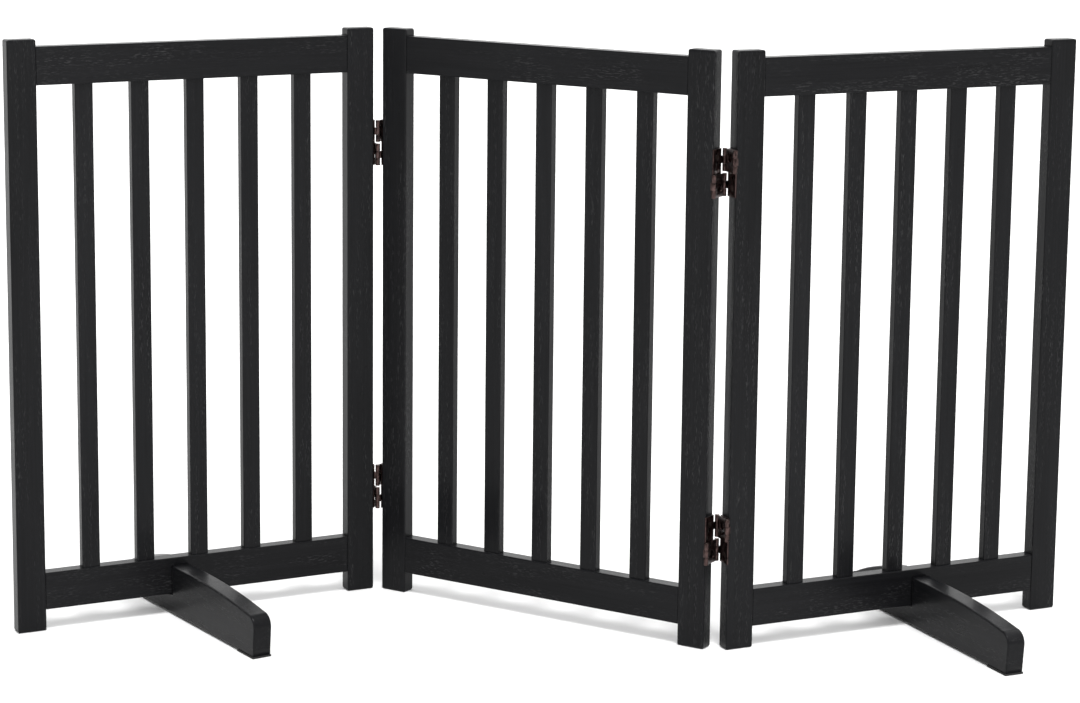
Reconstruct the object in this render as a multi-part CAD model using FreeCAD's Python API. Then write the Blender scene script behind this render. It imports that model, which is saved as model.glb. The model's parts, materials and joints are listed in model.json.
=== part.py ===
"""Folding pet gate: three slatted panels, four double-acting screen hinges and two push-on feet.

Millimetres, +Z up.  The gate stands on z = 0 with the middle of its bounding box over the origin.
X runs along the opening that the gate closes, and -Y is its front.
Every panel is drawn in its own frame (x along the panel from its left edge, y from its front face
to its back face, z up), then turned about its hinge axis into the zigzag in which the gate stands.
"""
import FreeCAD, Part
import math
import os

from FreeCAD import Placement, Rotation, Vector

# ---------------------------------------------------------------- driving dimensions
PANEL_WIDTH = 396.0
PANEL_HEIGHT = 610.0

POST_WIDTH = 30.0
POST_DEPTH = 16.0
POST_EDGE_RADIUS = 1.2

RAIL_HEIGHT = 39.0
RAIL_DEPTH = 15.0
RAIL_EDGE_RADIUS = 1.0
BOTTOM_RAIL_Z = 22.0
TOP_RAIL_DROP = 7.5

SLAT_COUNT = 5
SLAT_WIDTH = 19.0
SLAT_DEPTH = 10.0
SLAT_EDGE_RADIUS = 0.8
SLAT_TENON = 10.0

DOWEL_RADIUS = 3.0
DOWEL_LENGTH = 36.0
DOWEL_SPACING = 20.0
DOWEL_IN_POST = 18.0

HINGE_HEIGHT = 48.0
HINGE_CENTRES_Z = {"upper": 488.0, "lower": 114.0}
AXIS_FROM_EDGE = 3.5
AXIS_FROM_FACE = 2.9
LEAF_THICKNESS = 1.2
LINK_THICKNESS = 1.2
BARREL_RADIUS = 2.4
PIN_RADIUS = 1.1
PIN_RUNNING_GAP = 0.05
KNUCKLE_GAP = 0.3
HALF_GAP = 1.0
LINK_KNUCKLE = 7.4
ACCESS_HOLE_RADIUS = 4.5

SCREW_FROM_CENTRE = 15.0
SCREW_LENGTH = 14.0
SCREW_SHANK_RADIUS = 1.4
SCREW_HEAD_RADIUS = 2.9

FOOT_WIDTH = 20.0
FOOT_FRONT_REACH = 182.0
FOOT_BACK_REACH = 123.0
FOOT_SHOULDER_Z = 53.0
FOOT_FRONT_END_Z = 44.0
FOOT_BACK_END_Z = 29.0
FOOT_NOSE_RADIUS = 13.0
FOOT_TAIL_RADIUS = 8.0
FOOT_END_DRAFT = 2.5
FOOT_CROWN_PLACE = 0.55
FOOT_CROWN_RISE = 7.0
FOOT_REAR_CROWN_RISE = 3.0
FOOT_SHOULDER_LENGTH = 25.0
FOOT_NOTCH_WIDTH = 18.4
FOOT_NOTCH_DROP = 0.3
PAD_THICKNESS = 2.0
PAD_LENGTH = 34.0
PAD_WIDTH = 21.0

LEFT_FOLD = 58.5
RIGHT_FOLD = 56.0
CENTRE_TURN = -31.0
LEFT_FOOT_X = 174.0
LEFT_FOOT_TURN = 7.0
RIGHT_FOOT_X = 227.0
RIGHT_FOOT_TURN = 0.0

# ---------------------------------------------------------------- worked-out dimensions
TOP_RAIL_Z = PANEL_HEIGHT - TOP_RAIL_DROP - RAIL_HEIGHT
RAIL_LENGTH = PANEL_WIDTH - 2 * POST_WIDTH
RAIL_SETBACK = (POST_DEPTH - RAIL_DEPTH) / 2
SLAT_SETBACK = (POST_DEPTH - SLAT_DEPTH) / 2
SLAT_GAP = (RAIL_LENGTH - SLAT_COUNT * SLAT_WIDTH) / (SLAT_COUNT + 1)
MID_DEPTH = POST_DEPTH / 2
FRONT_AXIS_Y = -AXIS_FROM_FACE
BACK_AXIS_Y = POST_DEPTH + AXIS_FROM_FACE
UP = Vector(0, 0, 1)


# ---------------------------------------------------------------- small helpers
def box(x0, y0, z0, x1, y1, z1):
    """Box between two opposite corners."""
    return Part.makeBox(x1 - x0, y1 - y0, z1 - z0, Vector(x0, y0, z0))


def upright(x, y, z0, z1, radius):
    """Cylinder along z."""
    return Part.makeCylinder(radius, z1 - z0, Vector(x, y, z0), UP)


def rounded(solid, radius, direction):
    """Round the edges that run along one axis ("x" or "z")."""
    def runs_along(edge):
        tangent = edge.tangentAt(edge.FirstParameter)
        return abs(getattr(tangent, direction)) > 0.999
    return solid.makeFillet(radius, [edge for edge in solid.Edges if runs_along(edge)])


def group(solids):
    """Separate solids kept in one node."""
    return Part.makeCompound(solids)


def set_in(shape, placement):
    """Copy of a shape carried into the frame that a placement describes."""
    moved = shape.copy()
    moved.Placement = placement.multiply(shape.Placement)
    return moved


# ---------------------------------------------------------------- panel joinery
def dowel_places():
    """Start and height of every dowel of a panel: two at each end of both rails."""
    places = []
    for rail_z in (BOTTOM_RAIL_Z, TOP_RAIL_Z):
        for offset in (-DOWEL_SPACING / 2, DOWEL_SPACING / 2):
            z = rail_z + RAIL_HEIGHT / 2 + offset
            places.append((POST_WIDTH - DOWEL_IN_POST, z))
            places.append((PANEL_WIDTH - POST_WIDTH + DOWEL_IN_POST - DOWEL_LENGTH, z))
    return places


def dowel_pins():
    """The plain wooden dowels, lying along x."""
    return [Part.makeCylinder(DOWEL_RADIUS, DOWEL_LENGTH, Vector(x, MID_DEPTH, z), Vector(1, 0, 0))
            for x, z in dowel_places()]


def slat_left(index):
    """Left edge of a slat."""
    return POST_WIDTH + SLAT_GAP * (index + 1) + SLAT_WIDTH * index


def slat(index):
    """Slat with its ends held in mortises in both rails."""
    x = slat_left(index)
    z0 = BOTTOM_RAIL_Z + RAIL_HEIGHT - SLAT_TENON
    z1 = TOP_RAIL_Z + SLAT_TENON
    stick = box(x, SLAT_SETBACK, z0, x + SLAT_WIDTH, SLAT_SETBACK + SLAT_DEPTH, z1)
    return rounded(stick, SLAT_EDGE_RADIUS, "z")


def rail(z0):
    """Horizontal board with slat mortises and dowel holes."""
    y0 = RAIL_SETBACK
    board = box(POST_WIDTH, y0, z0, PANEL_WIDTH - POST_WIDTH, y0 + RAIL_DEPTH, z0 + RAIL_HEIGHT)
    board = rounded(board, RAIL_EDGE_RADIUS, "x")
    return board.cut([slat(index) for index in range(SLAT_COUNT)] + dowel_pins())


def post(x0, hinge_edges):
    """Upright board; hinge_edges lists the edge faces (x, outward sign) that carry hinge leaves."""
    board = box(x0, 0, 0, x0 + POST_WIDTH, POST_DEPTH, PANEL_HEIGHT)
    board = board.makeFillet(POST_EDGE_RADIUS, board.Edges)
    tools = dowel_pins()
    for edge_x, outward in hinge_edges:
        tools += [screw(edge_x, outward, z) for z in screw_heights()]
    return board.cut(tools)


# ---------------------------------------------------------------- hinges
def screw_heights():
    """Heights of the hinge screws on one post edge."""
    return [centre + side * SCREW_FROM_CENTRE
            for centre in HINGE_CENTRES_Z.values() for side in (-1, 1)]


def screw(edge_x, outward, z):
    """Countersunk screw through a leaf into a post edge, its head flush with the leaf."""
    face_x = edge_x + outward * LEAF_THICKNESS
    inward = Vector(-outward, 0, 0)
    head_height = SCREW_HEAD_RADIUS - SCREW_SHANK_RADIUS
    head = Part.makeCone(SCREW_HEAD_RADIUS, SCREW_SHANK_RADIUS, head_height,
                         Vector(face_x, MID_DEPTH, z), inward)
    shank = Part.makeCylinder(SCREW_SHANK_RADIUS, SCREW_LENGTH - head_height,
                              Vector(face_x - outward * head_height, MID_DEPTH, z), inward)
    return head.fuse(shank).removeSplitter()


def half_span(centre, half):
    """Lowest and highest z of the upper (half = 1) or lower (half = -1) barrels."""
    near = centre + half * HALF_GAP
    far = centre + half * HINGE_HEIGHT / 2
    return min(near, far), max(near, far)


def leaf_knuckle_span(centre, half):
    """z range of the leaf's knuckle, between the link's two."""
    z0, z1 = half_span(centre, half)
    inset = LINK_KNUCKLE + KNUCKLE_GAP
    return z0 + inset, z1 - inset


def leaf(edge_x, outward, centre, front_half):
    """Leaf screwed to a post edge.

    Its front knuckle is in the upper half of the hinge (front_half = 1) or the lower half (-1),
    and its back knuckle is in the other half.
    """
    xs = sorted((edge_x, edge_x + outward * LEAF_THICKNESS))
    axis_x = edge_x + outward * AXIS_FROM_EDGE
    z0 = centre - HINGE_HEIGHT / 2
    plate = box(xs[0], 0, z0, xs[1], POST_DEPTH, z0 + HINGE_HEIGHT)
    added = []
    bores = []
    for axis_y, half, tab_ys in (
            (FRONT_AXIS_Y, front_half, (FRONT_AXIS_Y, 0)),
            (BACK_AXIS_Y, -front_half, (POST_DEPTH, BACK_AXIS_Y))):
        k0, k1 = leaf_knuckle_span(centre, half)
        added.append(box(xs[0], tab_ys[0], k0, xs[1], tab_ys[1], k1))
        added.append(upright(axis_x, axis_y, k0, k1, BARREL_RADIUS))
        bores.append(upright(axis_x, axis_y, k0, k1, PIN_RADIUS))
    screws = [screw(edge_x, outward, centre + side * SCREW_FROM_CENTRE) for side in (-1, 1)]
    return plate.fuse(added).removeSplitter().cut(bores + screws)


def link(axis_x, centre, half):
    """Plate between the front and back axes of one half of a hinge, drawn with its axes at axis_x."""
    z0, z1 = half_span(centre, half)
    k0, k1 = leaf_knuckle_span(centre, half)
    x0 = axis_x - LINK_THICKNESS / 2
    plate = box(x0, FRONT_AXIS_Y, z0, x0 + LINK_THICKNESS, BACK_AXIS_Y, z1)
    reach = BARREL_RADIUS + KNUCKLE_GAP
    knuckles = []
    cuts = []
    for axis_y in (FRONT_AXIS_Y, BACK_AXIS_Y):
        for low, high in ((z0, z0 + LINK_KNUCKLE), (z1 - LINK_KNUCKLE, z1)):
            knuckles.append(upright(axis_x, axis_y, low, high, BARREL_RADIUS))
        cuts.append(upright(axis_x, axis_y, z0, z1, PIN_RADIUS + PIN_RUNNING_GAP))
        cuts.append(upright(axis_x, axis_y, k0 - KNUCKLE_GAP, k1 + KNUCKLE_GAP, reach))
    hole_z = centre + half * SCREW_FROM_CENTRE
    cuts.append(Part.makeCylinder(ACCESS_HOLE_RADIUS, 2 * LINK_THICKNESS,
                                  Vector(axis_x - LINK_THICKNESS, MID_DEPTH, hole_z),
                                  Vector(1, 0, 0)))
    return plate.fuse(knuckles).removeSplitter().cut(cuts)


def pins(axis_x, front_half):
    """The two pins of a leaf in each hinge, held in its knuckles and running in the links."""
    solids = []
    for centre in HINGE_CENTRES_Z.values():
        for axis_y, half in ((FRONT_AXIS_Y, front_half), (BACK_AXIS_Y, -front_half)):
            z0, z1 = half_span(centre, half)
            solids.append(upright(axis_x, axis_y, z0, z1, PIN_RADIUS))
    return solids


# ---------------------------------------------------------------- feet
def foot_profile():
    """Side outline of a foot in the y-z plane, notched to straddle the bottom rail.

    The front end leans out a little from the pad up to the large round of the nose.
    """
    front = MID_DEPTH - FOOT_NOTCH_WIDTH / 2
    back = MID_DEPTH + FOOT_NOTCH_WIDTH / 2
    y_front = -FOOT_FRONT_REACH
    y_back = FOOT_BACK_REACH
    nose_diagonal = FOOT_NOSE_RADIUS * (1 - math.sqrt(0.5))
    tail_diagonal = FOOT_TAIL_RADIUS * (1 - math.sqrt(0.5))

    def at(y, z):
        return Vector(0, y, z)

    toe = at(y_front + FOOT_END_DRAFT, PAD_THICKNESS)
    shoulder = at(-FOOT_SHOULDER_LENGTH, FOOT_SHOULDER_Z)
    rear_shoulder = at(POST_DEPTH + FOOT_SHOULDER_LENGTH, FOOT_SHOULDER_Z)
    nose = at(y_front + FOOT_NOSE_RADIUS, FOOT_FRONT_END_Z)
    nose_low = at(y_front, FOOT_FRONT_END_Z - FOOT_NOSE_RADIUS)
    tail = at(y_back - FOOT_TAIL_RADIUS, FOOT_BACK_END_Z)
    tail_low = at(y_back, FOOT_BACK_END_Z - FOOT_TAIL_RADIUS)
    crown = at(shoulder.y + FOOT_CROWN_PLACE * (nose.y - shoulder.y), FOOT_FRONT_END_Z + FOOT_CROWN_RISE)
    rear_crown = at((rear_shoulder.y + tail.y) / 2,
                    (FOOT_SHOULDER_Z + FOOT_BACK_END_Z) / 2 + FOOT_REAR_CROWN_RISE)
    notch_z = BOTTOM_RAIL_Z - FOOT_NOTCH_DROP
    edges = [
        Part.LineSegment(toe, nose_low),
        Part.Arc(nose_low, at(y_front + nose_diagonal, nose.z - nose_diagonal), nose),
        Part.Arc(nose, crown, shoulder),
        Part.LineSegment(shoulder, at(front, FOOT_SHOULDER_Z)),
        Part.LineSegment(at(front, FOOT_SHOULDER_Z), at(front, notch_z)),
        Part.LineSegment(at(front, notch_z), at(back, notch_z)),
        Part.LineSegment(at(back, notch_z), at(back, FOOT_SHOULDER_Z)),
        Part.LineSegment(at(back, FOOT_SHOULDER_Z), rear_shoulder),
        Part.Arc(rear_shoulder, rear_crown, tail),
        Part.Arc(tail, at(y_back - tail_diagonal, tail.z - tail_diagonal), tail_low),
        Part.LineSegment(tail_low, at(y_back, PAD_THICKNESS)),
        Part.LineSegment(at(y_back, PAD_THICKNESS), toe),
    ]
    return Part.Wire([edge.toShape() for edge in edges])


def foot():
    """Foot board, centred on x = 0."""
    board = Part.Face(foot_profile()).extrude(Vector(FOOT_WIDTH, 0, 0))
    board.translate(Vector(-FOOT_WIDTH / 2, 0, 0))
    return board


def foot_pads():
    """The two thin anti-slip pads glued under a foot's ends."""
    overhang = (PAD_WIDTH - FOOT_WIDTH) / 2
    half = PAD_WIDTH / 2
    starts = (-FOOT_FRONT_REACH + FOOT_END_DRAFT - overhang, FOOT_BACK_REACH + overhang - PAD_LENGTH)
    return group([box(-half, y, 0, half, y + PAD_LENGTH, PAD_THICKNESS) for y in starts])


def foot_place(x, turn):
    """Where a foot sits on its panel: its middle at x, turned about the middle of the rail."""
    to_middle = Placement(Vector(0, -MID_DEPTH, 0), Rotation())
    turned = Placement(Vector(x, MID_DEPTH, 0), Rotation(UP, turn))
    return turned.multiply(to_middle)


# ---------------------------------------------------------------- placing panels
def turned_about(panel_x, panel_y, centre_x, centre_y, turn):
    """Placement that puts one point of a panel on a point of the centre panel, turned."""
    spin = Rotation(UP, turn)
    moved = spin.multVec(Vector(panel_x, panel_y, 0))
    return Placement(Vector(centre_x, centre_y, 0).sub(moved), spin)


def panel_places():
    """Placement of each panel in the centre panel's frame.

    The left joint folds about its front axis and the right joint about its back axis.
    """
    before = -AXIS_FROM_EDGE
    after = PANEL_WIDTH + AXIS_FROM_EDGE
    return {
        "left": turned_about(after, FRONT_AXIS_Y, before, FRONT_AXIS_Y, LEFT_FOLD),
        "centre": Placement(),
        "right": turned_about(before, BACK_AXIS_Y, after, BACK_AXIS_Y, RIGHT_FOLD),
    }


def panel_nodes(side, hinge_edges):
    """The wooden pieces, dowels, screws and pins of one panel, in its own frame."""
    left_edges = [edge for edge in hinge_edges if edge[0] == 0]
    right_edges = [edge for edge in hinge_edges if edge[0] > 0]
    front_half = -1 if side == "centre" else 1
    nodes = {
        f"{side}_panel_left_post": post(0, left_edges),
        f"{side}_panel_right_post": post(PANEL_WIDTH - POST_WIDTH, right_edges),
        f"{side}_panel_bottom_rail": rail(BOTTOM_RAIL_Z),
        f"{side}_panel_top_rail": rail(TOP_RAIL_Z),
        f"{side}_panel_dowels": group(dowel_pins()),
    }
    for index in range(SLAT_COUNT):
        nodes[f"{side}_panel_slat_{index + 1}"] = slat(index)
    nodes[f"{side}_panel_hinge_screws"] = group(
        [screw(x, outward, z) for x, outward in hinge_edges for z in screw_heights()])
    pin_solids = []
    for x, outward in hinge_edges:
        pin_solids += pins(x + outward * AXIS_FROM_EDGE, front_half)
    nodes[f"{side}_panel_hinge_pins"] = group(pin_solids)
    return nodes


def joint_nodes(joint):
    """Leaves and links of the two hinges of one joint, each with the panel it stays with."""
    if joint == "left":
        outer_edge, centre_edge = (PANEL_WIDTH, 1), (0, -1)
        link_panels = {1: "centre", -1: "left"}
    else:
        outer_edge, centre_edge = (0, -1), (PANEL_WIDTH, 1)
        link_panels = {1: "right", -1: "centre"}
    edges = {joint: outer_edge, "centre": centre_edge}
    nodes = {}
    for level, centre_z in HINGE_CENTRES_Z.items():
        name = f"{joint}_joint_{level}_hinge"
        nodes[f"{name}_outer_leaf"] = (joint, leaf(*outer_edge, centre_z, 1))
        nodes[f"{name}_centre_leaf"] = ("centre", leaf(*centre_edge, centre_z, -1))
        for half, word in ((1, "top"), (-1, "bottom")):
            panel = link_panels[half]
            edge_x, outward = edges[panel]
            axis_x = edge_x + outward * AXIS_FROM_EDGE
            nodes[f"{name}_{word}_link"] = (panel, link(axis_x, centre_z, half))
    return nodes


def build():
    """Every node in the gate's frame, and the two fold axes and two rail directions."""
    places = panel_places()
    hinge_edges = {"left": [(PANEL_WIDTH, 1)], "centre": [(0, -1), (PANEL_WIDTH, 1)], "right": [(0, -1)]}
    placed = {}
    for side, edges in hinge_edges.items():
        for name, shape in panel_nodes(side, edges).items():
            placed[name] = (side, shape)
    for joint in ("left", "right"):
        placed.update(joint_nodes(joint))
    for side, x, turn in (("left", LEFT_FOOT_X, LEFT_FOOT_TURN), ("right", RIGHT_FOOT_X, RIGHT_FOOT_TURN)):
        seat = foot_place(x, turn)
        placed[f"{side}_foot"] = (side, set_in(foot(), seat))
        placed[f"{side}_foot_pads"] = (side, set_in(foot_pads(), seat))

    turn = Placement(Vector(), Rotation(UP, CENTRE_TURN))
    nodes = {name: set_in(shape, turn.multiply(places[side])) for name, (side, shape) in placed.items()}
    bounds = Part.makeCompound(list(nodes.values())).optimalBoundingBox()
    shift = Vector(-bounds.Center.x, -bounds.Center.y, 0)
    for shape in nodes.values():
        shape.translate(shift)

    frame = Placement(shift, Rotation()).multiply(turn)
    axes = {
        "left_fold": frame.multVec(Vector(-AXIS_FROM_EDGE, FRONT_AXIS_Y, 0)),
        "right_fold": frame.multVec(Vector(PANEL_WIDTH + AXIS_FROM_EDGE, BACK_AXIS_Y, 0)),
        "left_rail": frame.Rotation.multiply(places["left"].Rotation).multVec(Vector(1, 0, 0)),
        "right_rail": frame.Rotation.multiply(places["right"].Rotation).multVec(Vector(1, 0, 0)),
    }
    return nodes, axes


def main():
    nodes, axes = build()
    os.makedirs("parts", exist_ok=True)
    for name, shape in nodes.items():
        shape.exportStep(f"parts/{name}.step")
    for name, point in axes.items():
        print(name, round(point.x, 4), round(point.y, 4))
    bounds = Part.makeCompound(list(nodes.values())).optimalBoundingBox()
    print(len(nodes), "nodes,", "size", round(bounds.XLength, 1), round(bounds.YLength, 1),
          round(bounds.ZLength, 1))


main()
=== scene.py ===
"""Looks of a folding pet gate: black lacquered boards, bronzed screen hinges and push-on feet."""
import json
import math
import bmesh
import bpy
import numpy as np
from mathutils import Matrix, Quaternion, Vector


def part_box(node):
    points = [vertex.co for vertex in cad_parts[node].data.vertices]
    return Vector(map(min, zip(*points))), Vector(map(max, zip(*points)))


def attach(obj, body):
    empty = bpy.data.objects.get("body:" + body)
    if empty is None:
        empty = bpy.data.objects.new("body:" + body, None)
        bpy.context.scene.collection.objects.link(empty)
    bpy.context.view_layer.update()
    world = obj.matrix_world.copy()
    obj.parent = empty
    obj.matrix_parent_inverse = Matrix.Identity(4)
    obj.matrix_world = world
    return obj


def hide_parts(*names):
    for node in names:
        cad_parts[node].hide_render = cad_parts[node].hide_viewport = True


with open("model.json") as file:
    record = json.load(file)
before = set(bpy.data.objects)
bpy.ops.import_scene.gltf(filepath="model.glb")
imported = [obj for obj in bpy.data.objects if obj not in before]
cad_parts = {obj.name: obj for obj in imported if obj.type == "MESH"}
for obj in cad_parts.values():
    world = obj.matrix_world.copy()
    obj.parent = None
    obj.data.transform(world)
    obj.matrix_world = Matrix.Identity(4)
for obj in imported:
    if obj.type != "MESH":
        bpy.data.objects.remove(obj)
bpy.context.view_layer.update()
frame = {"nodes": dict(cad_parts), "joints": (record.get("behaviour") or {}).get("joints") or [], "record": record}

# ---------------------------------------------------------------- sizes, in metres
BOARD_EDGES = {  # rounding along the board, and of its ends
    "post": (0.0013, 0.0024),
    "rail": (0.0011, 0.0007),
    "slat": (0.0009, 0.0009),
}
PAD_EDGE = 0.0005
HINGE_EDGE = 0.00022
PIN_EDGE = 0.0004
SCREW_EDGE = 0.0002
FOOT_EDGE = 0.0016
FOOT_NOSE_RADIUS = 0.013
FOOT_NOSE_Z = 0.044
FOOT_TAIL_RADIUS = 0.008
FOOT_TAIL_Z = 0.029
FOOT_END_DRAFT = 0.0025
FOOT_CROWN_PLACE = 0.55  # share of the way from the shoulder to the nose
FOOT_CROWN_RISE = 0.007
FOOT_REAR_CROWN_RISE = 0.003
FOOT_SHOULDER = 0.0238
FLOOR_REACH = 14.0

# ---------------------------------------------------------------- how finely the meshes are made
CORNER_STEPS = 6
SUPPORT = 0.0004  # distance from a rounding to the extra points that keep the flats flat
SHARPEST = 0.0003  # smallest corner radius of a section
GRAIN_STATION = 0.03
LIFT_LIMIT = 0.0001
LIFT_WAVES = (17, 5)  # radians for each metre of board
LIFT_SEED_STEP = 2.1
GRAIN_SEED_STEP = (0.731, 0.377, 0.219)
NOSE_STEPS = 14
TOP_STEPS = 28
REAR_STEPS = 18
TAIL_STEPS = 10
FLAT_STEPS = 4
BOTTOM_STEPS = 24
MITRE_LIMIT = 0.5
NOTCH_SEARCH = 0.0006
NOTCH_FROM_MIDDLE = 0.06
FINE_TURNS = 18001
COARSE_STRIDE = 250
WELD = 0.000002
FLAT_ANGLE = 0.002  # radians
BEVEL_SEGMENTS = 2
BEVEL_FROM_DEGREES = 50

PANEL_BOARDS = ["left_post", "right_post", "top_rail", "bottom_rail"] + [f"slat_{n}" for n in range(1, 6)]
FEET = ("left", "right")
FIRST_FOOT_SEED = 41


# ---------------------------------------------------------------- where the panels stand
def joint(name):
    """A joint of the record by name."""
    return next(j for j in frame["joints"] if j["name"] == name)


def node_points(name):
    """Vertices of a CAD node as an n x 3 array."""
    mesh = frame["nodes"][name].data
    points = np.empty(len(mesh.vertices) * 3)
    mesh.vertices.foreach_get("co", points)
    return points.reshape(-1, 3)


def level_axes(along):
    """Rows along, back and up of a frame that stands upright and runs along a level direction."""
    along = np.array([along[0], along[1], 0.0])
    along /= np.linalg.norm(along)
    return np.array([along, [-along[1], along[0], 0.0], [0.0, 0.0, 1.0]])


def long_direction(name):
    """Level direction in which a straight piece runs: the one across which it measures narrowest."""
    level = node_points(name)[:, :2]
    turns = np.radians(np.linspace(0, 180, FINE_TURNS))
    across = np.stack([-np.sin(turns), np.cos(turns)])
    coarse = level @ across[:, ::COARSE_STRIDE]
    outermost = level[np.unique(np.concatenate([np.argmax(coarse, 0), np.argmin(coarse, 0)]))]
    widths = np.ptp(outermost @ across, axis=0)
    best = turns[np.argmin(widths)]
    direction = np.array([math.cos(best), math.sin(best)])
    return direction if direction[0] > 0 else -direction


AXES = {
    "left": level_axes(joint("left_foot_slide")["axis"]),
    "centre": level_axes(long_direction("centre_panel_top_rail")),
    "right": level_axes(joint("right_foot_slide")["axis"]),
}


def local_box(name, axes):
    """Lowest and highest corner of a CAD node measured along a frame's axes."""
    points = node_points(name) @ axes.T
    return points.min(0), points.max(0)


# ---------------------------------------------------------------- meshes
def closed_mesh(name, rings):
    """Mesh from a rings x points x 3 array: quads join the rings, and the two end rings are filled."""
    count, size = rings.shape[:2]
    start = (np.arange(count - 1)[:, None] * size + np.arange(size)[None, :]).ravel()
    step = np.roll(np.arange(size), -1)
    following = (np.arange(count - 1)[:, None] * size + step[None, :]).ravel()
    quads = np.stack([start, following, following + size, start + size], 1)
    faces = quads.tolist()
    faces.append(list(range(size))[::-1])
    faces.append([(count - 1) * size + i for i in range(size)])
    mesh = bpy.data.meshes.new(name)
    mesh.from_pydata(rings.reshape(-1, 3).tolist(), [], faces)
    mesh.validate()
    mesh.polygons.foreach_set("use_smooth", np.ones(len(mesh.polygons), bool))
    piece = bpy.data.objects.new(name, mesh)
    bpy.context.scene.collection.objects.link(piece)
    return piece


def corner_profile(half_a, half_b, radius):
    """Rounded rectangles, counter-clockwise, one for each entry of the three arrays.

    Each corner is a quarter circle of the radius, with one more point on each flat beside it, so that
    smooth shading stays flat on the flats.
    """
    half_a, half_b, radius = (np.asarray(value)[:, None] for value in (half_a, half_b, radius))
    parts = []
    for index, (sign_a, sign_b) in enumerate(((1, 1), (-1, 1), (-1, -1), (1, -1))):
        turns = np.radians(90 * index + np.linspace(0, 90, CORNER_STEPS))[None]
        arc_a = sign_a * (half_a - radius) + radius * np.cos(turns)
        arc_b = sign_b * (half_b - radius) + radius * np.sin(turns)
        first, last = turns[0, 0], turns[0, -1]
        a = np.concatenate([arc_a[:, :1] + SUPPORT * math.sin(first), arc_a,
                            arc_a[:, -1:] - SUPPORT * math.sin(last)], 1)
        b = np.concatenate([arc_b[:, :1] - SUPPORT * math.cos(first), arc_b,
                            arc_b[:, -1:] + SUPPORT * math.cos(last)], 1)
        parts.append(np.stack([a, b], -1))
    return np.concatenate(parts, 1)


def end_steps(radius):
    """Rings of a rounded end: how far in from the end each lies, and how far it is drawn inwards.

    The rings run on a quarter circle from the flat end face to the side, with one more ring on each.
    """
    turns = np.radians(np.linspace(90, 0, CORNER_STEPS))
    along = radius * (1 - np.sin(turns))
    inward = radius * (1 - np.cos(turns))
    return (np.concatenate([[0.0], along, [radius + SUPPORT]]),
            np.concatenate([[radius + SUPPORT], inward, [0.0]]))


def mark_grain(piece, coordinates, seed):
    """Stores board coordinates (along the grain, across it, through it) as the attribute the wood reads."""
    offset = seed * np.array(GRAIN_SEED_STEP)
    attribute = piece.data.attributes.new("grain", "FLOAT_VECTOR", "POINT")
    attribute.data.foreach_set("vector", (coordinates + offset).astype(np.float32).ravel())


def board(name, low, high, axes, long_axis, edge, end, seed):
    """Straight board between two corners of an upright frame.

    Its section is a rounded rectangle carried along the board.  At both ends the section draws in on a
    quarter circle.  In between, at a distance x along the board, it draws in by
    LIFT_LIMIT * |sin(17 x + 2.1 seed) * sin(5 x)|, so that the faces aren't dead flat.
    """
    first, second = (long_axis + 1) % 3, (long_axis + 2) % 3
    near, drawn = end_steps(end)
    length = high[long_axis] - low[long_axis]
    middle = np.linspace(near[-1], length - near[-1], max(2, int(length / GRAIN_STATION)) + 1)[1:-1]
    stations = np.concatenate([near, middle, length - near[::-1]])
    fast, slow = LIFT_WAVES
    lift = LIFT_LIMIT * np.abs(np.sin(middle * fast + seed * LIFT_SEED_STEP) * np.sin(middle * slow))
    inset = np.concatenate([drawn, lift, drawn[::-1]])
    section = corner_profile((high[first] - low[first]) / 2 - inset, (high[second] - low[second]) / 2 - inset,
                             np.maximum(edge - inset, SHARPEST))
    rings = np.empty((*section.shape[:2], 3))
    rings[:, :, first] = (low[first] + high[first]) / 2 + section[:, :, 0]
    rings[:, :, second] = (low[second] + high[second]) / 2 + section[:, :, 1]
    rings[:, :, long_axis] = (low[long_axis] + stations)[:, None]
    piece = closed_mesh(name, rings @ axes)
    grain = np.stack([rings[:, :, long_axis] - low[long_axis],
                      rings[:, :, first] - low[first], rings[:, :, second] - low[second]], -1)
    mark_grain(piece, grain.reshape(-1, 3), seed)
    return piece


# ---------------------------------------------------------------- feet
def foot_axes(side):
    """Frame of a foot: across it, towards its back and up, from the direction in which it runs."""
    run = long_direction(f"{side}_foot")
    back = run if run[1] > 0 else -run
    return level_axes((back[1], -back[0]))


def arc_through(start, middle, finish, steps):
    """Points of the circle arc from start to finish that passes through middle."""
    (ax, ay), (bx, by), (cx, cy) = start, middle, finish
    d = 2 * (ax * (by - cy) + bx * (cy - ay) + cx * (ay - by))
    a2, b2, c2 = ax * ax + ay * ay, bx * bx + by * by, cx * cx + cy * cy
    centre = np.array([(a2 * (by - cy) + b2 * (cy - ay) + c2 * (ay - by)) / d,
                       (a2 * (cx - bx) + b2 * (ax - cx) + c2 * (bx - ax)) / d])
    angles = [math.atan2(p[1] - centre[1], p[0] - centre[0]) for p in (start, middle, finish)]
    unwrapped = np.unwrap(angles)
    turns = np.linspace(unwrapped[0], unwrapped[2], steps)
    radius = math.hypot(ax - centre[0], ay - centre[1])
    return centre + radius * np.stack([np.cos(turns), np.sin(turns)], 1)


def straight(start, finish, steps=FLAT_STEPS):
    """Evenly spaced points from start to finish."""
    share = np.linspace(0, 1, steps)[:, None]
    return np.array(start)[None] * (1 - share) + np.array(finish)[None] * share


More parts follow.
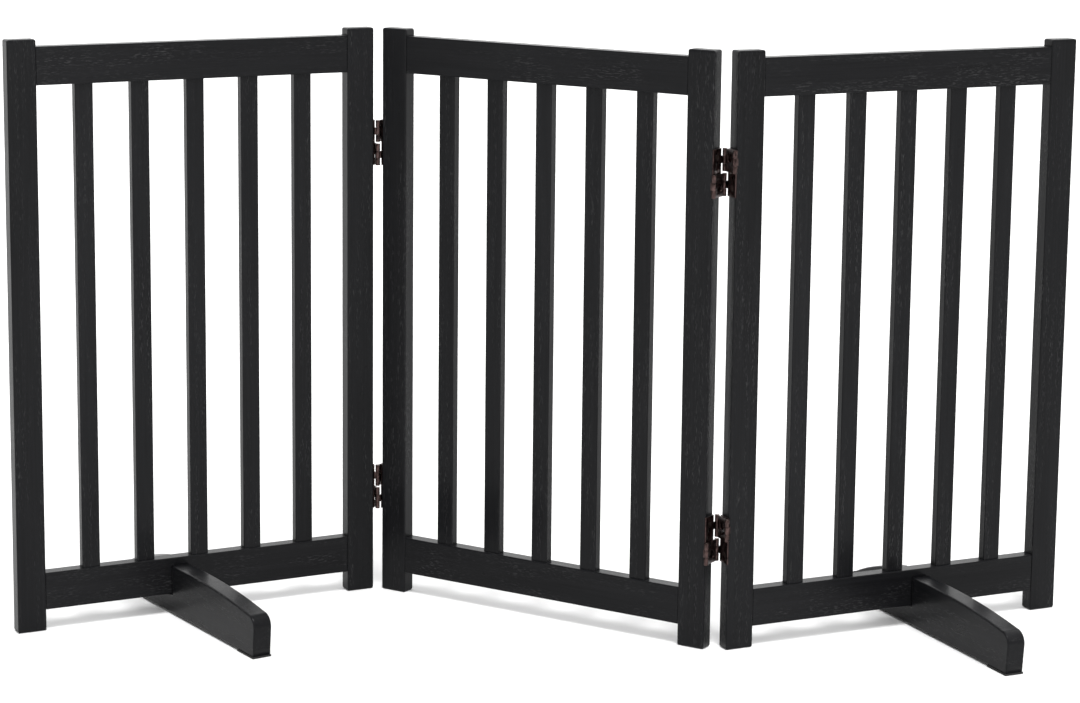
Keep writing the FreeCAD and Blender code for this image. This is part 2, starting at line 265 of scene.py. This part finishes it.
def foot_outline(low, high, notch_front, notch_back, notch_z):
    """Side outline of a foot, counter-clockwise, in (towards the back, up).

    Straight bottom, a short arc and a rounded tail at the back, a flat shoulder each side of the notch
    for the rail, a long arc down to the rounded nose, and a front end that leans out a little.
    """
    y_front, z_bottom = low[1], low[2]
    y_back, z_top = high[1], high[2]
    nose_diagonal = FOOT_NOSE_RADIUS * (1 - math.sqrt(0.5))
    tail_diagonal = FOOT_TAIL_RADIUS * (1 - math.sqrt(0.5))
    toe = (y_front + FOOT_END_DRAFT, z_bottom)
    shoulder = (notch_front - FOOT_SHOULDER, z_top)
    rear_shoulder = (notch_back + FOOT_SHOULDER, z_top)
    nose = (y_front + FOOT_NOSE_RADIUS, FOOT_NOSE_Z)
    tail = (y_back - FOOT_TAIL_RADIUS, FOOT_TAIL_Z)
    crown = (shoulder[0] + FOOT_CROWN_PLACE * (nose[0] - shoulder[0]), FOOT_NOSE_Z + FOOT_CROWN_RISE)
    rear_crown = ((rear_shoulder[0] + tail[0]) / 2, (z_top + FOOT_TAIL_Z) / 2 + FOOT_REAR_CROWN_RISE)
    nose_low = (y_front, FOOT_NOSE_Z - FOOT_NOSE_RADIUS)
    tail_low = (y_back, FOOT_TAIL_Z - FOOT_TAIL_RADIUS)
    parts = [
        straight(toe, nose_low),
        arc_through(nose_low, (y_front + nose_diagonal, FOOT_NOSE_Z - nose_diagonal), nose, NOSE_STEPS),
        arc_through(nose, crown, shoulder, TOP_STEPS),
        straight(shoulder, (notch_front, z_top)),
        straight((notch_front, z_top), (notch_front, notch_z)),
        straight((notch_front, notch_z), (notch_back, notch_z)),
        straight((notch_back, notch_z), (notch_back, z_top)),
        straight((notch_back, z_top), rear_shoulder),
        arc_through(rear_shoulder, rear_crown, tail, REAR_STEPS),
        arc_through(tail, (y_back - tail_diagonal, FOOT_TAIL_Z - tail_diagonal), tail_low, TAIL_STEPS),
        straight(tail_low, (y_back, z_bottom)),
        straight((y_back, z_bottom), toe, BOTTOM_STEPS),
    ]
    return np.concatenate([part[:-1] for part in parts])[::-1]


def outward(outline):
    """Outward step at each point of a counter-clockwise outline, longer at corners to keep sides parallel."""
    ahead = np.roll(outline, -1, 0) - outline
    behind = outline - np.roll(outline, 1, 0)
    ahead /= np.linalg.norm(ahead, axis=1)[:, None]
    behind /= np.linalg.norm(behind, axis=1)[:, None]
    tangent = ahead + behind
    tangent /= np.linalg.norm(tangent, axis=1)[:, None]
    length = 1 / np.clip((ahead * tangent).sum(1), MITRE_LIMIT, 1)
    return np.stack([tangent[:, 1], -tangent[:, 0]], 1) * length[:, None]


def foot_piece(side, seed):
    """Foot board: its outline carried across its width, drawn in on a quarter circle at both sides."""
    axes = foot_axes(side)
    points = node_points(f"{side}_foot") @ axes.T
    low, high = points.min(0), points.max(0)
    rail_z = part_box(f"{side}_panel_bottom_rail")[0].z
    at_height = np.abs(points[:, 2] - rail_z) < NOTCH_SEARCH
    near_middle = np.abs(points[:, 1] - (low[1] + high[1]) / 2) < NOTCH_FROM_MIDDLE
    floor_of_notch = points[at_height & near_middle]
    outline = foot_outline(low, high, floor_of_notch[:, 1].min(), floor_of_notch[:, 1].max(),
                           floor_of_notch[:, 2].mean())
    near, drawn = end_steps(FOOT_EDGE)
    width = high[0] - low[0]
    stations = np.concatenate([near, [width / 2], width - near[::-1]])
    inset = np.concatenate([drawn, [0.0], drawn[::-1]])
    flat = outline[None] - outward(outline)[None] * inset[:, None, None]
    rings = np.empty((len(stations), len(outline), 3))
    rings[:, :, 0] = (low[0] + stations)[:, None]
    rings[:, :, 1:] = flat
    piece = closed_mesh(f"{side}_foot_board", rings @ axes)
    grain = np.stack([rings[:, :, 1] - low[1], rings[:, :, 2] - low[2], rings[:, :, 0] - low[0]], -1)
    mark_grain(piece, grain.reshape(-1, 3), seed)
    return piece


# ---------------------------------------------------------------- materials
class Nodes:
    """A material's node tree with short calls for adding and joining nodes."""

    def __init__(self, name):
        self.material = bpy.data.materials.new(name)
        self.material.use_nodes = True
        self.tree = self.material.node_tree
        self.shader = self.tree.nodes["Principled BSDF"]

    def add(self, kind, settings=(), values=()):
        node = self.tree.nodes.new(kind)
        for key, value in dict(settings).items():
            setattr(node, key, value)
        for key, value in dict(values).items():
            node.inputs[key].default_value = value
        return node

    def join(self, source, target):
        self.tree.links.new(source, target)

    def math(self, operation, first, second):
        node = self.add("ShaderNodeMath", {"operation": operation})
        for slot, value in zip(node.inputs, (first, second)):
            if isinstance(value, (int, float)):
                slot.default_value = value
            else:
                self.join(value, slot)
        return node.outputs[0]

    def stretched(self, source, scale):
        node = self.add("ShaderNodeMapping", values={"Scale": scale})
        self.join(source, node.inputs["Vector"])
        return node.outputs[0]

    def noise(self, source, scale, detail=4.0, roughness=0.55):
        node = self.add("ShaderNodeTexNoise",
                        values={"Scale": scale, "Detail": detail, "Roughness": roughness})
        self.join(source, node.inputs["Vector"])
        return node.outputs["Fac"]

    def ramp(self, source, low, high, low_value=0.0, high_value=1.0):
        node = self.add("ShaderNodeMapRange", {"clamp": True},
                        {"From Min": low, "From Max": high, "To Min": low_value, "To Max": high_value})
        self.join(source, node.inputs["Value"])
        return node.outputs["Result"]

    def blend(self, share, first, second):
        node = self.add("ShaderNodeMix", {"data_type": "RGBA"})
        for socket, value in zip([s for s in node.inputs if s.type == "RGBA"], (first, second)):
            if hasattr(value, "is_linked"):
                self.join(value, socket)
            else:
                socket.default_value = value
        self.join(share, node.inputs[0])
        return next(s for s in node.outputs if s.type == "RGBA")

    def bump(self, height, strength, distance, under=None):
        node = self.add("ShaderNodeBump", values={"Strength": strength, "Distance": distance})
        self.join(height, node.inputs["Height"])
        if under is not None:
            self.join(under, node.inputs["Normal"])
        return node.outputs["Normal"]

    def set(self, **values):
        for key, value in values.items():
            socket = self.shader.inputs[key.replace("_", " ")]
            if hasattr(value, "is_linked"):
                self.join(value, socket)
            else:
                socket.default_value = value


def lacquered_wood():
    """Black satin lacquer over open-grained wood.

    Long streaks lift the lacquer a little.  Pores run as short sloping dashes along the grain, crowded in
    some stretches and nearly absent in others, and their lips catch the light through the bump; their
    colour is also lifted to grey, a painted highlight for glints on the pore lips.  Slow bands bring the
    cathedral figure, and the coat is rubbed a shade duller in patches.
    """
    made = Nodes("black_lacquered_wood")
    grain = made.add("ShaderNodeAttribute", {"attribute_name": "grain"}).outputs["Vector"]
    drift = made.noise(made.stretched(grain, (2.2, 14.0, 14.0)), 1.0, 2.0)
    streaks = made.noise(made.stretched(grain, (9.0, 420.0, 420.0)), 1.0, 5.0, 0.62)
    figure = made.add("ShaderNodeTexWave", {"wave_type": "BANDS", "bands_direction": "Y"},
                      {"Scale": 16.0, "Distortion": 7.0, "Detail": 3.0, "Detail Scale": 0.7})
    made.join(made.stretched(grain, (1.3, 2.4, 2.4)), figure.inputs["Vector"])
    dashes = made.noise(made.stretched(grain, (170.0, 1150.0, 1150.0)), 1.0, 2.0, 0.5)
    crowded = made.ramp(made.noise(made.stretched(grain, (7.0, 55.0, 55.0)), 1.0, 2.0), 0.40, 0.66)
    open_grain = made.math("MULTIPLY", crowded, made.ramp(figure.outputs["Fac"], 0.15, 0.85, 0.25, 1.0))
    pores_and_glints = made.math("MULTIPLY", made.ramp(dashes, 0.55, 0.68), open_grain)
    patches = made.noise(made.stretched(grain, (16.0, 30.0, 30.0)), 1.0, 3.0)
    shade = made.math("ADD", made.ramp(streaks, 0.30, 0.75, 0.0, 0.55), made.ramp(drift, 0.3, 0.7, 0.0, 0.45))
    colour = made.blend(shade, (0.0032, 0.0033, 0.0038, 1), (0.0095, 0.0097, 0.0108, 1))
    # painted highlight: the pore mask lifts the colour to grey, standing in for glints of light on the pore lips
    colour = made.blend(pores_and_glints, colour, (0.036, 0.036, 0.037, 1))
    rough = made.math("ADD", made.ramp(patches, 0.3, 0.7, 0.27, 0.36), made.math("MULTIPLY", pores_and_glints, 0.14))
    height = made.math("SUBTRACT", made.math("MULTIPLY", streaks, 0.50), pores_and_glints)
    skin = made.noise(made.stretched(grain, (700.0, 700.0, 700.0)), 1.0, 2.0)
    normal = made.bump(height, 0.8, 0.00028, made.bump(skin, 0.15, 0.00005))
    made.set(Base_Color=colour, Roughness=rough, Normal=normal, Specular_IOR_Level=0.07,
             Coat_Weight=0.1, Coat_Roughness=0.14, Coat_IOR=1.4)
    return made.material


def aged_metal(name, dark, bright, roughness, scratch):
    """Plated steel on object coordinates: mottled plating rubbed brighter in patches, with fine scratches."""
    made = Nodes(name)
    spot = made.add("ShaderNodeTexCoord").outputs["Object"]
    mottle = made.noise(made.stretched(spot, (260.0, 260.0, 160.0)), 1.0, 5.0, 0.6)
    scratches = made.noise(made.stretched(spot, (2600.0, 2600.0, 260.0)), 1.0, 3.0, 0.6)
    worn = made.ramp(mottle, 0.32, 0.74)
    colour = made.blend(worn, dark, bright)
    rough = made.math("ADD", made.ramp(mottle, 0.3, 0.7, roughness - 0.07, roughness + 0.10),
                      made.math("MULTIPLY", scratches, 0.10))
    normal = made.bump(scratches, scratch, 0.00006)
    made.set(Base_Color=colour, Roughness=rough, Normal=normal, Metallic=1.0)
    return made.material


def rubber():
    """Matt black rubber with a fine moulded grain."""
    made = Nodes("anti_slip_rubber")
    spot = made.add("ShaderNodeTexCoord").outputs["Object"]
    fine = made.noise(made.stretched(spot, (1400.0, 1400.0, 1400.0)), 1.0, 3.0)
    dust = made.noise(made.stretched(spot, (60.0, 60.0, 60.0)), 1.0, 4.0)
    colour = made.blend(made.ramp(dust, 0.35, 0.75), (0.006, 0.006, 0.006, 1), (0.016, 0.016, 0.0155, 1))
    made.set(Base_Color=colour, Roughness=made.ramp(fine, 0.3, 0.7, 0.66, 0.86),
             Normal=made.bump(fine, 0.5, 0.00012), Specular_IOR_Level=0.4)
    return made.material


def beech():
    """Bare beech dowel: pale, with short flecks along its length."""
    made = Nodes("bare_dowel_wood")
    spot = made.add("ShaderNodeTexCoord").outputs["Object"]
    fleck = made.noise(made.stretched(spot, (90.0, 90.0, 700.0)), 1.0, 4.0)
    colour = made.blend(made.ramp(fleck, 0.35, 0.7), (0.50, 0.34, 0.20, 1), (0.66, 0.49, 0.31, 1))
    made.set(Base_Color=colour, Roughness=made.ramp(fleck, 0.3, 0.7, 0.5, 0.68),
             Normal=made.bump(fleck, 0.4, 0.0001))
    return made.material


WOOD = lacquered_wood()
HINGE_METAL = aged_metal("bronzed_hinge_steel", (0.020, 0.0145, 0.014, 1), (0.115, 0.075, 0.070, 1),
                         0.26, 0.22)
PIN_METAL = aged_metal("hinge_pin_steel", (0.20, 0.15, 0.14, 1), (0.46, 0.40, 0.38, 1), 0.28, 0.25)
SCREW_METAL = aged_metal("screw_steel", (0.06, 0.045, 0.04, 1), (0.22, 0.17, 0.155, 1), 0.32, 0.30)
RUBBER = rubber()
BEECH = beech()


def finish_with(piece, material):
    """Gives a piece its one material."""
    piece.data.materials.clear()
    piece.data.materials.append(material)


def place(piece, body, node, material):
    """Material, body and replaced node of a new piece."""
    finish_with(piece, material)
    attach(piece, body)
    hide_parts(node)


# ---------------------------------------------------------------- the gate's boards, feet and hardware
def build_panels():
    """Every board of the three panels, each in place of its CAD node."""
    for panel_index, (side, axes) in enumerate(AXES.items()):
        for board_index, kind in enumerate(PANEL_BOARDS):
            node = f"{side}_panel_{kind}"
            low, high = local_box(node, axes)
            long_axis = 0 if kind.endswith("rail") else 2
            edge, end = next(edges for part, edges in BOARD_EDGES.items() if part in kind)
            piece = board(f"{node}_board", low, high, axes, long_axis, edge, end,
                          seed=1 + board_index + len(PANEL_BOARDS) * panel_index)
            place(piece, f"{side}_panel", node, WOOD)


def build_feet():
    """The boards of both feet."""
    for index, side in enumerate(FEET):
        piece = foot_piece(side, seed=FIRST_FOOT_SEED + index)
        place(piece, f"{side}_foot", f"{side}_foot", WOOD)


def softened_copy(node, width):
    """Copy of a CAD node's mesh, merged, with its sharp edges rounded by a small bevel."""
    mesh = frame["nodes"][node].data.copy()
    shape = bmesh.new()
    shape.from_mesh(mesh)
    bmesh.ops.remove_doubles(shape, verts=shape.verts, dist=WELD)
    bmesh.ops.dissolve_limit(shape, angle_limit=FLAT_ANGLE, verts=shape.verts, edges=shape.edges)
    shape.to_mesh(mesh)
    shape.free()
    mesh.polygons.foreach_set("use_smooth", np.ones(len(mesh.polygons), bool))
    piece = bpy.data.objects.new(f"{node}_finished", mesh)
    bpy.context.scene.collection.objects.link(piece)
    bevel = piece.modifiers.new("softened_edges", "BEVEL")
    bevel.width = width
    bevel.segments = BEVEL_SEGMENTS
    bevel.limit_method = "ANGLE"
    bevel.angle_limit = math.radians(BEVEL_FROM_DEGREES)
    bevel.harden_normals = True
    return piece


HARDWARE = {
    "leaf": (HINGE_EDGE, "bronzed_hinge_steel", HINGE_METAL),
    "link": (HINGE_EDGE, "bronzed_hinge_steel", HINGE_METAL),
    "hinge_pins": (PIN_EDGE, "hinge_pin_steel", PIN_METAL),
    "hinge_screws": (SCREW_EDGE, "screw_steel", SCREW_METAL),
    "foot_pads": (PAD_EDGE, "anti_slip_rubber", RUBBER),
}


def build_hardware():
    """Softened hinge plates, pins, screws and pads, each on its CAD node's body, and the dowels' wood."""
    body_of = {node: body for body, nodes in frame["record"]["behaviour"]["bodies"].items() for node in nodes}
    for node in sorted(body_of):
        for ending, (width, slot, material) in HARDWARE.items():
            if node.endswith(ending):
                place(softened_copy(node, width), body_of[node], node, material)
    for node in sorted(body_of):
        if node.endswith("dowels"):
            finish_with(frame["nodes"][node], BEECH)


build_panels()
build_feet()
build_hardware()


# ---------------------------------------------------------------- stage, light and camera
BRIGHT_SIDE = (0.30, 0.90, 0.30)
BRIGHT_WALL = 1.8
DIM_WALL = 0.0
SEEN_WALL = 1.0
OVERHEAD_ENERGY = 3.1
OVERHEAD_SPREAD = 22  # degrees
OVERHEAD_FROM = (0.10, -0.38, 1.0)
STRIP_WIDTH, STRIP_HEIGHT, STRIP_WATTS = 0.4, 2.0, 9
STRIP_AIM = (0, 0, 0.3)
STRIPS = {"left_strip": (-2.0, -2.7, 1.0), "right_strip": (1.5, -2.7, 1.0)}
CAMERA_PLACE = (0.0211, -2.8822, 0.8881)
CAMERA_AIM = (-0.0080, 0.0, 0.4035)
CAMERA_ROLL = 0.6  # degrees
CAMERA_SENSOR = 36.0  # millimetres, as is the lens
CAMERA_LENS = 95.7
CAMERA_SHIFT = -0.10


def stage():
    """Plain white floor, and surroundings that the camera sees as white.

    Everything else that looks at them finds a strength that rises evenly from DIM_WALL to BRIGHT_WALL
    with the dot product of its direction and BRIGHT_SIDE.
    """
    corners = [(x * FLOOR_REACH, y * FLOOR_REACH, 0) for x, y in ((-1, -1), (1, -1), (1, 1), (-1, 1))]
    mesh = bpy.data.meshes.new("floor")
    mesh.from_pydata(corners, [], [(0, 1, 2, 3)])
    floor = bpy.data.objects.new("floor", mesh)
    bpy.context.scene.collection.objects.link(floor)
    made = Nodes("white_floor")
    made.set(Base_Color=(0.80, 0.80, 0.80, 1), Roughness=0.9, Specular_IOR_Level=0.1)
    finish_with(floor, made.material)
    world = bpy.data.worlds.new("surroundings")
    world.use_nodes = True
    tree = world.node_tree
    background = tree.nodes["Background"]
    direction = tree.nodes.new("ShaderNodeTexCoord").outputs["Generated"]
    towards = tree.nodes.new("ShaderNodeVectorMath")
    towards.operation = "DOT_PRODUCT"
    towards.inputs[1].default_value = BRIGHT_SIDE
    tree.links.new(direction, towards.inputs[0])
    fade = tree.nodes.new("ShaderNodeMapRange")
    for key, value in {"From Min": -1.0, "From Max": 1.0, "To Min": DIM_WALL, "To Max": BRIGHT_WALL}.items():
        fade.inputs[key].default_value = value
    tree.links.new(towards.outputs["Value"], fade.inputs["Value"])
    seen = tree.nodes.new("ShaderNodeLightPath").outputs["Is Camera Ray"]
    level = tree.nodes.new("ShaderNodeMix")
    level.data_type = "FLOAT"
    level.inputs[3].default_value = SEEN_WALL
    tree.links.new(seen, level.inputs[0])
    tree.links.new(fade.outputs["Result"], level.inputs[2])
    tree.links.new(level.outputs[0], background.inputs["Strength"])
    background.inputs["Color"].default_value = (1.0, 1.0, 1.0, 1)
    bpy.context.scene.world = world
    bpy.context.scene.view_settings.view_transform = "Standard"


def strip(name, position):
    """Upright rectangular lamp that points at the gate."""
    data = bpy.data.lights.new(name, "AREA")
    data.shape = "RECTANGLE"
    data.size, data.size_y, data.energy = STRIP_WIDTH, STRIP_HEIGHT, STRIP_WATTS
    lamp = bpy.data.objects.new(name, data)
    lamp.location = position
    lamp.rotation_euler = (Vector(STRIP_AIM) - Vector(position)).to_track_quat("-Z", "Y").to_euler()
    bpy.context.scene.collection.objects.link(lamp)


def lights():
    """A wide overhead lamp, which casts the soft bands under the rails, and a strip at each side in front."""
    data = bpy.data.lights.new("overhead", "SUN")
    data.energy, data.angle = OVERHEAD_ENERGY, math.radians(OVERHEAD_SPREAD)
    lamp = bpy.data.objects.new("overhead", data)
    lamp.rotation_euler = Vector(OVERHEAD_FROM).to_track_quat("Z", "Y").to_euler()
    bpy.context.scene.collection.objects.link(lamp)
    for name, position in STRIPS.items():
        strip(name, position)


def camera():
    """Camera in front of the gate and above its top, with a long lens and a small downward shift."""
    position, aim = Vector(CAMERA_PLACE), Vector(CAMERA_AIM)
    data = bpy.data.cameras.new("camera")
    data.sensor_width = CAMERA_SENSOR
    data.lens = CAMERA_LENS
    data.shift_y = CAMERA_SHIFT
    data.dof.use_dof = False
    lens = bpy.data.objects.new("camera", data)
    lens.location = position
    roll = Quaternion((0, 0, 1), math.radians(CAMERA_ROLL))
    lens.rotation_euler = ((aim - position).to_track_quat("-Z", "Y") @ roll).to_euler()
    bpy.context.scene.collection.objects.link(lens)
    bpy.context.scene.camera = lens


stage()
lights()
camera()
